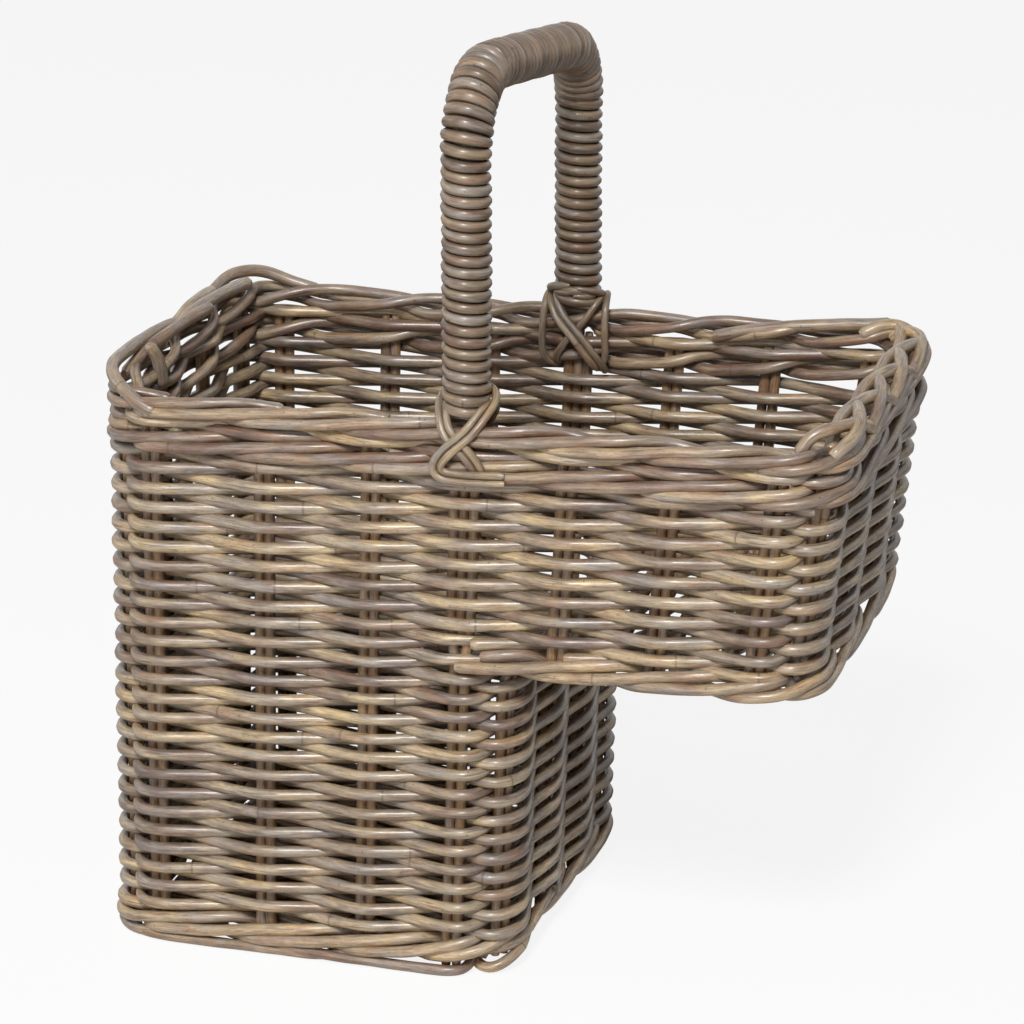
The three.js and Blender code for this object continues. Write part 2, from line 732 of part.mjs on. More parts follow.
function buildFloors() {
  const reach = halfDepth(binFloorZ) - insideBorder - weaverWidth / 2;
  const sticks = [];
  for (let column = 0; column < binWallStakes; column += 1) {
    const x = longWallX(column, binFloorZ);
    const ends = [-1, 1].map((side) => new THREE.Vector3(x, side * (reach + weaverWidth / 2), binFloorZ));
    addPiece(`bin_floor_stick_${column + 1}`, sweep(pairSection(stakeRod, seatGap), ends, up), baseMaterial());
    sticks.push(x);
  }
  const from = leftWall(binFloorZ) + insideBorder + weaverWidth / 2;
  const to = riserWall(binFloorZ) - insideBorder - weaverWidth / 2 - 2 * seatGap;
  const binFloor = floorWeaver(sticks, from, to, -reach, reach, binFloorZ, "x");
  addPiece("bin_floor_weaver", binFloor, baseMaterial());

  const rows = [0, 1, 2, 3].map(floorRow);
  const low = riserWall(shelfHeight) + insideBorder + weaverWidth / 2;
  const high = shelfEndBottom - insideBorder - weaverWidth / 2;
  const side = halfDepth(shelfFloorZ) - insideBorder - weaverWidth / 2;
  const shelfFloor = floorWeaver(rows, -side, side, low, high, shelfFloorZ, "y");
  addPiece("shelf_floor_weaver", shelfFloor, baseMaterial());
}

function buildHandle() {
  addPiece("handle_core", handleCorePiece(), coreMaterial());
  addPiece("handle_binding", handleBindingPiece(), bindingMaterial());
  addPiece("front_lashing", lashingPiece(-1), bindingMaterial());
  addPiece("back_lashing", lashingPiece(1), bindingMaterial());
}

buildStakes();
buildWalls();
buildWales();
buildFloors();
buildHandle();
const bounds = new THREE.Box3().setFromObject(group);
group.position.x = -(bounds.min.x + bounds.max.x) / 2;

export default group;
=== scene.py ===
import bpy
import math
import random
import numpy as np
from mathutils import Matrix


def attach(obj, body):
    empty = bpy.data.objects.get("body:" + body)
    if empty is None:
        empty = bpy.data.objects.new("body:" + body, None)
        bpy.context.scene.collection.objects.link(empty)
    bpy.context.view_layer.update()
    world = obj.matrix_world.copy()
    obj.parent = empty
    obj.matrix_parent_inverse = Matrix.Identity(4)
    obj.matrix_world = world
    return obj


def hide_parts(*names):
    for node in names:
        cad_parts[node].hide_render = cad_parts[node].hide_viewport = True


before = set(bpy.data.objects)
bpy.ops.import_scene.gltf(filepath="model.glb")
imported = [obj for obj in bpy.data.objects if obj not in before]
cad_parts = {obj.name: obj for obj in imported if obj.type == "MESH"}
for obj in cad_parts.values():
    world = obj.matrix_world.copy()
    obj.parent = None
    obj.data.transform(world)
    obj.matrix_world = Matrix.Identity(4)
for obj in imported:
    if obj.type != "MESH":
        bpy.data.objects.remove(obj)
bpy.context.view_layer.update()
bpy.ops.object.select_all(action="DESELECT")
random.seed(7)

mm = 0.001

# Where the middle of each wall's weave runs, within a few millimetres of the part's own
basket = {
    "centre": 212.4,          # moves local x so that the box is centred
    "shelfHeight": 190,
    "rimHeight": 342,
    "leftFoot": -2.5,
    "leftDraw": 4,            # how far the bin's end draws in by the rim
    "binFoot": 234,           # the bin's riser wall at its foot, then under the shelf
    "binShelf": 239,
    "endFoot": 409,           # the shelf's far wall at its foot, then at the rim
    "endTop": 425,
    "depthFoot": 226,
    "depthRim": 232,
    "corner": 28,
}

stakes = {
    "rod": 6.4,
    "side": 3.1,              # from a pair's middle to each of its rods
    "waver": 0.4,
    "foot": 2.5,
    "shelfFoot": 192,
    "riserLevels": [10, 60, 120, 180],
    "endLevels": [216, 250, 290, 326],
    "throughBend": 10,        # how far from a wall the run across the shelf starts
    "top": 326,
    "first": 22.5,            # along the long walls, at the foot
    "firstDraw": 2,
    "handle": 202.5,
    "handleDraw": 12,
    "binShares": [0, 0.365, 0.705, 1],
    "lastInset": 28.5,
    "rightCorner": 11.5,
    "leftCorner": 19,
    "perEnd": 4,
    "binColumns": 4,
    "allColumns": 7,
    "handleColumn": 3,
    # beside the handle a pair parts towards the rim, and the handle's tail stands between
    "partedLevels": [60, 120, 180, 200, 212, 240],
    "partedSides": [3.1, 3.1, 3.1, 3.1, 3.3, 5.4, 6, 6],
    "tailLevels": [214, 260, 332],
}


# Where the walls run

def endWall(z):
    share = (z - basket["shelfHeight"]) / (basket["rimHeight"] - basket["shelfHeight"])
    return basket["endFoot"] + (basket["endTop"] - basket["endFoot"]) * share


def wallEdges(ring, z):
    rise = z / basket["rimHeight"]
    left = basket["leftFoot"] + basket["leftDraw"] * rise
    if ring["columns"] == stakes["binColumns"]:
        share = min(z / basket["shelfHeight"], 1)
        right = basket["binFoot"] + (basket["binShelf"] - basket["binFoot"]) * share
    else:
        right = endWall(z)
    half = (basket["depthFoot"] + (basket["depthRim"] - basket["depthFoot"]) * rise) / 2
    return left, right, half


def stakeX(column, z):
    rise = z / basket["rimHeight"]
    first = stakes["first"] + stakes["firstDraw"] * rise
    handleStake = stakes["handle"] + stakes["handleDraw"] * rise
    if column < stakes["binColumns"]:
        return first + (handleStake - first) * stakes["binShares"][column]
    last = endWall(max(z, basket["shelfHeight"])) - stakes["lastInset"]
    spaces = stakes["allColumns"] - 1 - stakes["handleColumn"]
    return handleStake + (last - handleStake) * (column - stakes["handleColumn"]) / spaces


def makeRing(columns):
    ends = stakes["perEnd"]
    stations = [("front", c) for c in range(columns)]
    stations += [("right", c) for c in range(ends)]
    stations += [("back", c) for c in reversed(range(columns))]
    stations += [("left", c) for c in reversed(range(ends))]
    return {"columns": columns, "stations": stations, "count": len(stations)}


binRing = makeRing(stakes["binColumns"])
wholeRing = makeRing(stakes["allColumns"])


def midline(ring, z):
    left, right, half = wallEdges(ring, z)
    radius = basket["corner"]
    long = right - left - 2 * radius
    short = 2 * (half - radius)
    arc = radius * math.pi / 2
    return left, right, half, long, short, arc


def ringPoint(ring, z, distance, offset):
    # a point on the rounded wall line, moved outward by offset
    left, right, half, long, short, arc = midline(ring, z)
    radius = basket["corner"]
    rest = distance % (2 * (long + short) + 4 * arc)
    sides = [
        (long, (right - radius, radius - half), (0, -1), (1, 0)),
        (short, (right - radius, half - radius), (1, 0), (0, 1)),
        (long, (left + radius, half - radius), (0, 1), (-1, 0)),
        (short, (left + radius, radius - half), (-1, 0), (0, -1)),
    ]
    reach = radius + offset
    for length, corner, out, along in sides:
        if rest <= length:
            toGo = length - rest
            return corner[0] + out[0] * reach - along[0] * toGo, corner[1] + out[1] * reach - along[1] * toGo
        if rest <= length + arc:
            angle = (rest - length) / radius
            c, s = math.cos(angle) * reach, math.sin(angle) * reach
            return corner[0] + out[0] * c + along[0] * s, corner[1] + out[1] * c + along[1] * s
        rest -= length + arc
    return left + radius, -half - offset


def stakeDistance(ring, index, z):
    # how far round the ring a stake stands, from the start of the front wall
    turn, place = divmod(index, ring["count"])
    wall, column = ring["stations"][place]
    left, right, half, long, short, arc = midline(ring, z)
    radius = basket["corner"]
    base = turn * (2 * (long + short) + 4 * arc)
    if wall == "front":
        return base + stakeX(column, z) - left - radius
    if wall == "back":
        return base + long + 2 * arc + short + right - radius - stakeX(column, z)
    inset = stakes["rightCorner"] if wall == "right" else stakes["leftCorner"]
    bend = radius * math.acos(1 - inset / radius)
    start = base + (long if wall == "right" else 2 * long + 2 * arc + short)
    order = column if wall == "right" else stakes["perEnd"] - 1 - column
    if order == 0:
        return start + bend
    if order == stakes["perEnd"] - 1:
        return start + 2 * arc + short - bend
    return start + arc + order * 2 * (half - inset) / (stakes["perEnd"] - 1) - radius + inset


def wallPoint(ring, place, offset, z):
    # place counts stakes, with shares of the space between two
    index = math.floor(place)
    start = stakeDistance(ring, index, z)
    end = stakeDistance(ring, index + 1, z)
    x, y = ringPoint(ring, z, start + (end - start) * (place - index), offset)
    return x - basket["centre"], y, z


def stationGap(ring, index, z):
    return stakeDistance(ring, index + 1, z) - stakeDistance(ring, index, z)


def isCorner(ring, index):
    count = ring["count"]
    return ring["stations"][index % count][0] != ring["stations"][(index + 1) % count][0]


def atHandle(ring, index):
    wall, column = ring["stations"][index % ring["count"]]
    return ring is wholeRing and wall in ("front", "back") and column == stakes["handleColumn"]


# Paths

def resample(points, step):
    points = np.asarray(points, float)
    lengths = np.concatenate([[0], np.cumsum(np.linalg.norm(np.diff(points, axis=0), axis=1))])
    count = max(int(lengths[-1] / step), 2) + 1
    places = np.linspace(0, lengths[-1], count)
    return np.stack([np.interp(places, lengths, points[:, k]) for k in range(3)], axis=1)


def soften(points, reach, step):
    # rounds a path's corners as a stiff rod would
    sigma = reach / step
    width = max(int(sigma * 3), 1)
    kernel = np.exp(-0.5 * (np.arange(-width, width + 1) / sigma) ** 2)
    kernel /= kernel.sum()
    out = []
    for k in range(3):
        line = points[:, k]
        first = 2 * line[0] - line[1:width + 1][::-1]
        last = 2 * line[-1] - line[-width - 1:-1][::-1]
        out.append(np.convolve(np.concatenate([first, line, last]), kernel, "valid"))
    return np.stack(out, axis=1)


def rodPath(points, step=2.4, reach=4.0):
    even = resample(points, step)
    if len(even) < int(reach / step * 3) + 3:      # too short to soften
        return even
    return soften(even, reach, step)


def followRing(ring, keys, reach=4.0):
    # keys are (place, offset, z); the path follows the wall between them
    pointsPerSpace = 14
    points = []
    for (placeA, offsetA, zA), (placeB, offsetB, zB) in zip(keys, keys[1:]):
        count = max(2, int(abs(placeB - placeA) * pointsPerSpace))
        for k in range(count):
            t = k / count
            points.append(wallPoint(ring, placeA + (placeB - placeA) * t,
                                    offsetA + (offsetB - offsetA) * t, zA + (zB - zA) * t))
    points.append(wallPoint(ring, *keys[-1]))
    return rodPath(points, reach=reach)


# Rods

cane = {
    "swells": [(0.03, 85), (0.018, 233)],     # share of the radius, and radians in a metre
    "knotSpacing": 290,       # from one leaf scar to the next
    "knotSwell": 0.22,
    "knotLength": 3,
    "endShare": 0.72,         # a cut end is a little thinner, and rounded
    "endLength": 1.6,
    "length": 40,             # metres of cane that rods are cut from, so that no two share their grain
    "tones": (0.25, 0.75),    # 0 is the darkest rod of a look, 1 the palest
    "smoothAngle": 50,
}


def rodOf(points, diameter, tone=None):
    return {
        "points": np.asarray(points, float),
        "diameter": diameter,
        "tone": random.uniform(*cane["tones"]) if tone is None else tone,
        "shift": random.uniform(0, cane["length"]),
    }


def measureRod(rod):
    # a rod's line in metres, each point's place along its cane, and the radius there
    line = rod["points"] * mm
    travel = np.concatenate([[0], np.cumsum(np.linalg.norm(np.diff(line, axis=0), axis=1))])
    place = travel + rod["shift"]
    spacing = cane["knotSpacing"] * mm
    knot = (place + 0.5 * spacing) % spacing - 0.5 * spacing
    swell = 1 + sum(share * np.sin(place * rate) for share, rate in cane["swells"])
    radius = rod["diameter"] * mm / 2 * swell
    radius += cane["knotSwell"] * mm * np.exp(-(knot / (cane["knotLength"] * mm)) ** 2)
    radius *= rod.get("sizes", 1)
    fromEnd = np.minimum(travel, travel[-1] - travel)
    rounding = np.clip(fromEnd / (cane["endLength"] * mm), 0, 1) ** 0.5
    radius *= cane["endShare"] + (1 - cane["endShare"]) * rounding
    return line, place, radius


def markRods(mesh, rods, measured):
    # each point keeps its place on its own cane and the rod's tone
    lines, places, radii = (np.concatenate(part) for part in zip(*measured))
    around = len(mesh.vertices) // len(lines)
    angle = np.tile(np.arange(around) / around * 2 * math.pi, len(lines))
    place = np.repeat(places, around)
    radius = np.repeat(radii, around)
    space = np.column_stack([np.cos(angle) * radius, np.sin(angle) * radius, place])
    mesh.attributes.new("rodSpace", "FLOAT_VECTOR", "POINT").data.foreach_set("vector", space.ravel())
    tones = np.concatenate([np.full(len(rod["points"]) * around, rod["tone"]) for rod in rods])
    mesh.attributes.new("rodTone", "FLOAT", "POINT").data.foreach_set("value", tones)
    # and how far it faces the next turn of a binding, which the material paints as shade
    axes = np.concatenate([rod.get("axis", np.zeros_like(rod["points"])) for rod in rods])
    spots = np.zeros(len(mesh.vertices) * 3)
    mesh.vertices.foreach_get("co", spots)
    away = spots.reshape(-1, 3) - np.repeat(lines, around, axis=0)
    grooveShade = np.abs((away * np.repeat(axes, around, axis=0)).sum(axis=1)) / radius
    mesh.attributes.new("rodGrooveShade", "FLOAT", "POINT").data.foreach_set("value", grooveShade)


def makeRods(name, rods, material, nodes, sides=10):
    # one curve object with a spline for each rod, turned into a mesh with closed ends
    curve = bpy.data.curves.new(name, "CURVE")
    curve.dimensions = "3D"
    curve.bevel_depth = 1
    curve.bevel_resolution = (sides - 4) // 2
    measured = [measureRod(rod) for rod in rods]
    for line, place, radius in measured:
        spline = curve.splines.new("POLY")
        spline.points.add(len(line) - 1)
        spline.points.foreach_set("co", np.column_stack([line, np.ones(len(line))]).ravel())
        spline.points.foreach_set("radius", radius)
    piece = bpy.data.objects.new(name, curve)
    bpy.context.scene.collection.objects.link(piece)
    bpy.context.view_layer.objects.active = piece
    piece.select_set(True)
    bpy.ops.object.convert(target="MESH")
    bpy.ops.object.mode_set(mode="EDIT")
    bpy.ops.mesh.select_all(action="SELECT")
    bpy.ops.mesh.fill_holes(sides=0)
    bpy.ops.object.mode_set(mode="OBJECT")
    markRods(piece.data, rods, measured)
    piece.data.materials.clear()
    piece.data.materials.append(material)
    bpy.ops.object.shade_smooth_by_angle(angle=math.radians(cane["smoothAngle"]))
    piece.select_set(False)
    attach(piece, "root")
    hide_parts(*nodes)


def nodesLike(*starts):
    return sorted(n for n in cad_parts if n.startswith(starts))


# Materials

# What lies on a rod's skin: size across and along it in mm, then detail, roughness and shift.
# The sizes keep their digits, because a rod may lie 40 m along its cane, where rounding moves its grain.
skin = {
    "slow": (13.333333, 41.666667, 3, 0.65, (0, 0, 0)),
    "stain": (4.7619048, 20.833333, 4, 0.7, (11, 5, 3)),
    "grey": (8.3333333, 38.461538, 3, 0.6, (2, 17, 9)),
    "fine": (1.2195122, 13.333333, 6, 0.8, (0, 0, 0)),     # fibres, drawn wider than 0.3 mm, to show
    "crack": (1.6129032, 23.809524, 3, 0.65, (7, 1, 5)),
    "speck": (1.923077, 2.3809524, 2, 0.5, (3, 3, 1)),
    "dent": (3.846154, 16.666667, 2, 0.55, (0, 0, 0)),
}


def srgb(code):
    parts = [int(code[k:k + 2], 16) / 255 for k in (1, 3, 5)]
    linear = [p / 12.92 if p <= 0.04045 else ((p + 0.055) / 1.055) ** 2.4 for p in parts]
    return (*linear, 1)


def addNode(tree, kind, settings=None, links=None):
    # settings holds properties by name and input values by socket; links maps a socket to an output
    node = tree.nodes.new(kind)
    for key, value in (settings or {}).items():
        if isinstance(key, str) and hasattr(node, key):
            setattr(node, key, value)
        else:
            node.inputs[key].default_value = value
    for key, output in (links or {}).items():
        tree.links.new(output, node.inputs[key])
    return node


def setRamp(node, stops):
    ramp = node.color_ramp
    while len(ramp.elements) < len(stops):
        ramp.elements.new(0.5)
    for element, (place, code) in zip(ramp.elements, stops):
        element.position = place
        element.color = srgb(code)


def rattan(name, stops, patch, dark, rough=0.34, tint="#8a5f44", tintShare=0.5):
    # stops run from the darkest rod to the palest; patch is how far one rod strays from its own tone
    material = bpy.data.materials.new(name)
    material.use_nodes = True
    tree = material.node_tree
    tree.nodes.clear()
    space = addNode(tree, "ShaderNodeAttribute", {"attribute_name": "rodSpace"})
    tone = addNode(tree, "ShaderNodeAttribute", {"attribute_name": "rodTone"})
    grooveShade = addNode(tree, "ShaderNodeAttribute", {"attribute_name": "rodGrooveShade"})
    split = addNode(tree, "ShaderNodeSeparateXYZ", {}, {0: space.outputs["Vector"]})
    scar = addNode(tree, "ShaderNodeMath", {"operation": "PINGPONG", 1: cane["knotSpacing"] * mm / 2},
                   {0: split.outputs["Z"]})
    marks = {"grooveShade": grooveShade.outputs["Fac"], "scar": scar.outputs[0]}
    for mark, (across, along, detail, roughness, shift) in skin.items():
        scale = (1 / (across * mm), 1 / (across * mm), 1 / (along * mm))
        moved = addNode(tree, "ShaderNodeVectorMath", {"operation": "MULTIPLY_ADD", 1: scale, 2: shift},
                        {0: space.outputs["Vector"]})
        noise = addNode(tree, "ShaderNodeTexNoise", {"Scale": 1, "Detail": detail, "Roughness": roughness},
                        {"Vector": moved.outputs[0]})
        marks[mark] = noise.outputs["Fac"]
    # the rod's own tone, with slow changes along it
    swing = addNode(tree, "ShaderNodeMapRange",
                    {"From Min": 0.3, "From Max": 0.7, "To Min": -patch, "To Max": patch},
                    {"Value": marks["slow"]})
    mixed = addNode(tree, "ShaderNodeMath", {"operation": "ADD", "use_clamp": True},
                    {0: tone.outputs["Fac"], 1: swing.outputs[0]})
    ramp = addNode(tree, "ShaderNodeValToRGB", {}, {"Fac": mixed.outputs[0]})
    setRamp(ramp, stops)
    colour = ramp.outputs["Color"]
    # over it: a mark, where it starts and ends, its strength at both, and its colour, or None to make what
    # lies under it darker or paler
    layers = [
        ("stain", 0.49, 0.64, 0, tintShare, tint),
        ("grey", 0.5, 0.66, 0, 0.55, "#97908a"),
        ("fine", 0.38, 0.62, dark, 1.22, None),
        ("crack", 0.57, 0.66, 0, 0.6, "#4a382b"),
        ("speck", 0.68, 0.74, 0, 0.6, "#3d2e24"),
        ("scar", 0.3 * mm, 0.9 * mm, 0.5, 0, "#3b2c20"),     # the thin dark line where a leaf once grew
        ("grooveShade", 0.7, 1.0, 1, 0.4, None),                  # painted shade, darker where one turn of a binding faces the next
    ]
    for mark, start, end, atStart, atEnd, code in layers:
        strength = addNode(tree, "ShaderNodeMapRange",
                           {"From Min": start, "From Max": end, "To Min": atStart, "To Max": atEnd},
                           {"Value": marks[mark]})
        if code:
            settings = {"data_type": "RGBA", "blend_type": "MIX", 7: srgb(code)}
            links = {0: strength.outputs[0], 6: colour}
        else:
            settings = {"data_type": "RGBA", "blend_type": "MULTIPLY", 0: 1.0}
            links = {6: colour, 7: strength.outputs[0]}
        colour = addNode(tree, "ShaderNodeMix", settings, links).outputs[2]
    relief = addNode(tree, "ShaderNodeMath", {"operation": "MULTIPLY_ADD", 1: 0.4},
                     {0: marks["fine"], 2: marks["dent"]})
    bump = addNode(tree, "ShaderNodeBump", {"Strength": 0.4, "Distance": 0.5 * mm},
                   {"Height": relief.outputs[0]})
    sheen = addNode(tree, "ShaderNodeMapRange",
                    {"From Min": 0.3, "From Max": 0.7, "To Min": rough + 0.16, "To Max": rough - 0.02},
                    {"Value": marks["fine"]})
    shader = addNode(tree, "ShaderNodeBsdfPrincipled",
                     {"IOR": 1.52, "Metallic": 0, "Coat Weight": 0.32, "Coat Roughness": 0.2},
                     {"Base Color": colour, "Roughness": sheen.outputs[0], "Normal": bump.outputs[0]})
    addNode(tree, "ShaderNodeOutputMaterial", {}, {"Surface": shader.outputs[0]})
    return material


# kubu grey rattan peel: mud-soaked grey over straw, with a satin skin
weaverLook = rattan("kubu grey rattan rods",
                    [(0.0, "#65544a"), (0.3, "#867564"), (0.65, "#a29076"), (1.0, "#bda57e")],
                    patch=0.55, dark=0.55)
# border rods are the same rattan, thicker and a little redder
borderLook = rattan("kubu rattan border rods",
                    [(0.0, "#6b5447"), (0.35, "#89745f"), (0.7, "#a28d70"), (1.0, "#bca27b")],
                    patch=0.4, dark=0.58, tintShare=0.6)
# stakes keep the browner inner tone, and their colour is darker as painted shade from the weavers over them
stakeLook = rattan("brown rattan stakes",
                   [(0.0, "#6c533c"), (0.5, "#8a6e50"), (1.0, "#a3845f")],
                   patch=0.4, dark=0.62, rough=0.45)
# wrapped handle peel is browner, its skin still satin
bindingLook = rattan("wrapped handle rattan",
                     [(0.0, "#5f4c3b"), (0.4, "#7d6a54"), (0.75, "#928064"), (1.0, "#a68f6c")],
                     patch=0.5, dark=0.58, rough=0.36)
# the core only shows between two turns, so its colour is painted shade, far darker than the rattan itself
coreLook = rattan("shaded rattan core",
                  [(0.0, "#2c2119"), (1.0, "#41332a")],
                  patch=0.3, dark=0.7, rough=0.6, tint="#2c2119")


# Floors: sticks or stakes along x, and a weaver to and fro over them

floors = {
    "gap": 0.4,               # between two rows of the weaver
    "binLevel": 11.5,
    "binWallLevel": 12,       # where the bin's floor meets its walls
    "binSideInset": 9,
    "binLeftInset": 14,
    "binRightInset": 12,
    "stickInset": 15,
    "stickSide": 3,
    "shelfLevel": 200.5,
    "shelfRows": [-88, -33.4, 33.4, 88],      # where the riser's stakes cross the shelf
    "shelfReach": 101,
    "shelfRiserInset": 8,
    "shelfEndInset": 9,
    "thickness": (0.92, 1.0),
}


def floorRods(sticks, low, high, ends, level, alongX):
    rods = []
    count = int((high - low) / (weave["rod"] + floors["gap"]))
    lift = (stakes["rod"] + weave["rod"]) / 2
    stops = [ends[0], *sticks, ends[1]]
    for row in range(count + 1):
        across = low + row * (high - low) / count
        points = []
        for k, run in enumerate(stops):
            side = 1 if (k + row) % 2 == 0 else -1
            rise = side * (lift if 0 < k < len(stops) - 1 else lift * 0.4)
            points.append((run, across, level + rise) if alongX else (across, run, level + rise))
        rods.append(rodOf(rodPath(points, 3, 7), weave["rod"] * random.uniform(*floors["thickness"])))
    return rods


def buildFloors():
    centre = basket["centre"]
    level = floors["binLevel"]
    columns = [stakeX(c, floors["binWallLevel"]) - centre for c in range(stakes["binColumns"])]
    left, right, half = wallEdges(binRing, floors["binWallLevel"])
    ends = (left - centre + floors["binLeftInset"], right - centre - floors["binRightInset"])
    side = half - floors["binSideInset"]
    rods = floorRods(columns, -side, side, ends, level, True)
    makeRods("binFloor", rods, stakeLook, ["bin_floor_weaver"], 8)
    sticks = []
    stickEnd = half - floors["stickInset"]
    for x in columns:
        for shift in (-floors["stickSide"], floors["stickSide"]):
            path = rodPath([(x + shift, -stickEnd, level), (x + shift, stickEnd, level)], 5, 4)
            sticks.append(rodOf(path, stakes["rod"]))
    makeRods("binFloorSticks", sticks, stakeLook, nodesLike("bin_floor_stick"), 8)
    low = basket["binShelf"] - centre + floors["shelfRiserInset"]
    high = basket["endFoot"] - centre - floors["shelfEndInset"]
    reach = floors["shelfReach"]
    rods = floorRods(floors["shelfRows"], low, high, (-reach, reach), floors["shelfLevel"], False)
    makeRods("shelfFloor", rods, stakeLook, ["shelf_floor_weaver"], 8)


# Stakes, two rods side by side

def stakePoint(ring, index, z, shift):
    x, y = ringPoint(ring, z, stakeDistance(ring, index, z) + shift, 0)
    return x - basket["centre"], y, z


def stakePath(ring, index, levels, shifts):
    return rodPath([stakePoint(ring, index, z, shift) for z, shift in zip(levels, shifts)], 6, 5)


def buildStakes():
    rods = []
    top = stakes["top"]
    side = stakes["side"]
    for index, (wall, column) in enumerate(wholeRing["stations"]):
        if wall == "right":
            continue
        overShelf = wall in ("front", "back") and column > stakes["handleColumn"]
        foot = stakes["shelfFoot"] if overShelf else stakes["foot"]
        for turned in (-1, 1):
            waver = random.uniform(-stakes["waver"], stakes["waver"])
            if atHandle(wholeRing, index):
                levels = [foot, *stakes["partedLevels"], top]
                sides = stakes["partedSides"]
            else:
                levels = [foot, (foot + top) / 2, top]
                sides = [side, side + waver, side]
            path = stakePath(wholeRing, index, levels, [turned * s for s in sides])
            rods.append(rodOf(path, stakes["rod"]))
        if atHandle(wholeRing, index):
            rods.append(rodOf(stakePath(wholeRing, index, stakes["tailLevels"], [0, 0, 0]), stakes["rod"]))
    names = nodesLike("front_stake", "back_stake", "bin_end_stake")
    makeRods("uprightStakes", rods, stakeLook, names)


def buildThroughStakes():
    # up the riser wall, across the shelf's floor and up its far wall in one run
    rods = []
    bend = stakes["throughBend"]
    level = floors["shelfLevel"]
    for column, row in enumerate(floors["shelfRows"]):
        for shift in (-stakes["side"], stakes["side"]):
            riserPlace = stakes["binColumns"] + column
            endPlace = stakes["allColumns"] + column
            riser = [stakePoint(binRing, riserPlace, z, shift) for z in stakes["riserLevels"]]
            end = [stakePoint(wholeRing, endPlace, z, shift) for z in stakes["endLevels"]]
            floor = [(riser[-1][0] + bend, row + shift, level), (end[0][0] - bend, row + shift, level)]
            rods.append(rodOf(rodPath(riser + floor + end, 3, 7), stakes["rod"]))
    makeRods("throughStakes", rods, stakeLook, nodesLike("riser_shelf_end_stake"))


# Weavers: outside one stake and inside the next, two chasing each other

weave = {
    "rod": 6.9,
    "pitch": 5.95,
    "binBottom": 21.5,
    "binTop": 187.5,
    "upperBottom": 211.5,
    "upperTop": 306.5,
    "binStarts": (13, 21),    # stakes, counted on round the ring
    "upperLevels": (19, 30),  # where each upper rod would start at the bottom
    "upperStarts": (19, 25),  # and where it really comes in
    "stepStops": (269, 275),
    "clear": 0.25,
    "standWaver": (-0.25, 0.3),
    "hugOutside": 5.5,        # how far past a stake's middle a rod stays against it
    "hugInside": 3,
    "hugCorner": 7.0,
    "hugTail": 2.5,           # more beside the handle's tail
    "wobble": 0.3,
    "turnsPerRod": 3.4,
    "lengths": (0.7, 1.2),    # shares of a rod's usual turns, and of its diameter
    "thickness": (0.93, 1.05),
    "stepThickness": (0.95, 1.03),
}


def weaverKeys(ring, first, last, phase, level):
    keys = []
    for index in range(first, last + 1):
        side = 1 if (index + phase) % 2 == 0 else -1
        z = level(index)
        stand = (stakes["rod"] + weave["rod"]) / 2 + weave["clear"]
        stand += random.uniform(*weave["standWaver"])
        rise = random.gauss(0, weave["wobble"])
        hug = weave["hugOutside"] if side > 0 else weave["hugInside"]
        if atHandle(ring, index):
            hug += weave["hugTail"]
        before = hug if not isCorner(ring, index - 1) or side < 0 else weave["hugCorner"]
        after = hug if not isCorner(ring, index) or side < 0 else weave["hugCorner"]
        if index > first:
            share = before / stationGap(ring, index - 1, z)
            keys.append((index - share, stand * side, level(index - share) + rise))
        if index < last:
            share = after / stationGap(ring, index, z)
            keys.append((index + share, stand * side, level(index + share) + rise))
    return keys


def climbPerStake(ring):
    # two rods chase each other, so one of them climbs two rows in a turn
    return 2 * weave["pitch"] / ring["count"]


def chasingWeavers(ring, bottom, top, begins, starts):
    # begins give each rod's level, starts are where it really comes in
    rods = []
    count = ring["count"]
    climb = climbPerStake(ring)
    for phase, (begin, start) in enumerate(zip(begins, starts)):
        last = begin + int((top - bottom) / climb)
        place = start
        strand = []
        while place < last:
            length = int(count * weave["turnsPerRod"] * random.uniform(*weave["lengths"])) // 2 * 2
            end = min(place + length, last)
            if last - end < count:
                end = last
            # a rod starts and ends on the inside
            if (end + phase) % 2 == 0 and end < last:
                end += 1
            keys = weaverKeys(ring, place, end, phase, lambda p: bottom + (p - begin) * climb)
            path = followRing(ring, keys)
            strand.append(rodOf(path, weave["rod"] * random.uniform(*weave["thickness"])))
            place = end
        rods.append(strand)
    return rods


def outerTurns(last, stop):
    # where a climbing rod crosses the bin's three outer walls, from the back handle stake to the front one
    count = binRing["count"]
    backStake = stakes["binColumns"] + stakes["perEnd"]
    turns = []
    for turn in range(last // count, stop // count + 2):
        first = max(last, (turn - 1) * count + backStake)
        end = min(stop, turn * count + stakes["handleColumn"])
        if end - first > 1:
            turns.append((first, end, 2 * wholeRing["count"] - count * turn))
    return turns


def stepRods():
    # between the bin's ring and the upper one, the bin's rods go on round its three outer walls only
    rods = []
    climb = climbPerStake(binRing)
    steps = int((weave["binTop"] - weave["binBottom"]) / climb)
    for phase, (begin, stop) in enumerate(zip(weave["binStarts"], weave["stepStops"])):
        for first, last, shift in outerTurns(begin + steps, stop):
            keys = weaverKeys(wholeRing, first + shift, last + shift, phase,
                              lambda p: weave["binBottom"] + (p - shift - begin) * climb)
            if last % binRing["count"] == stakes["handleColumn"]:
                # the end slips in behind the handle's stake
                keys.append((last + shift + 0.3, keys[-1][1] * 0.4 - 3, keys[-1][2]))
            path = followRing(wholeRing, keys)
            rods.append(rodOf(path, weave["rod"] * random.uniform(*weave["stepThickness"])))
    return rods


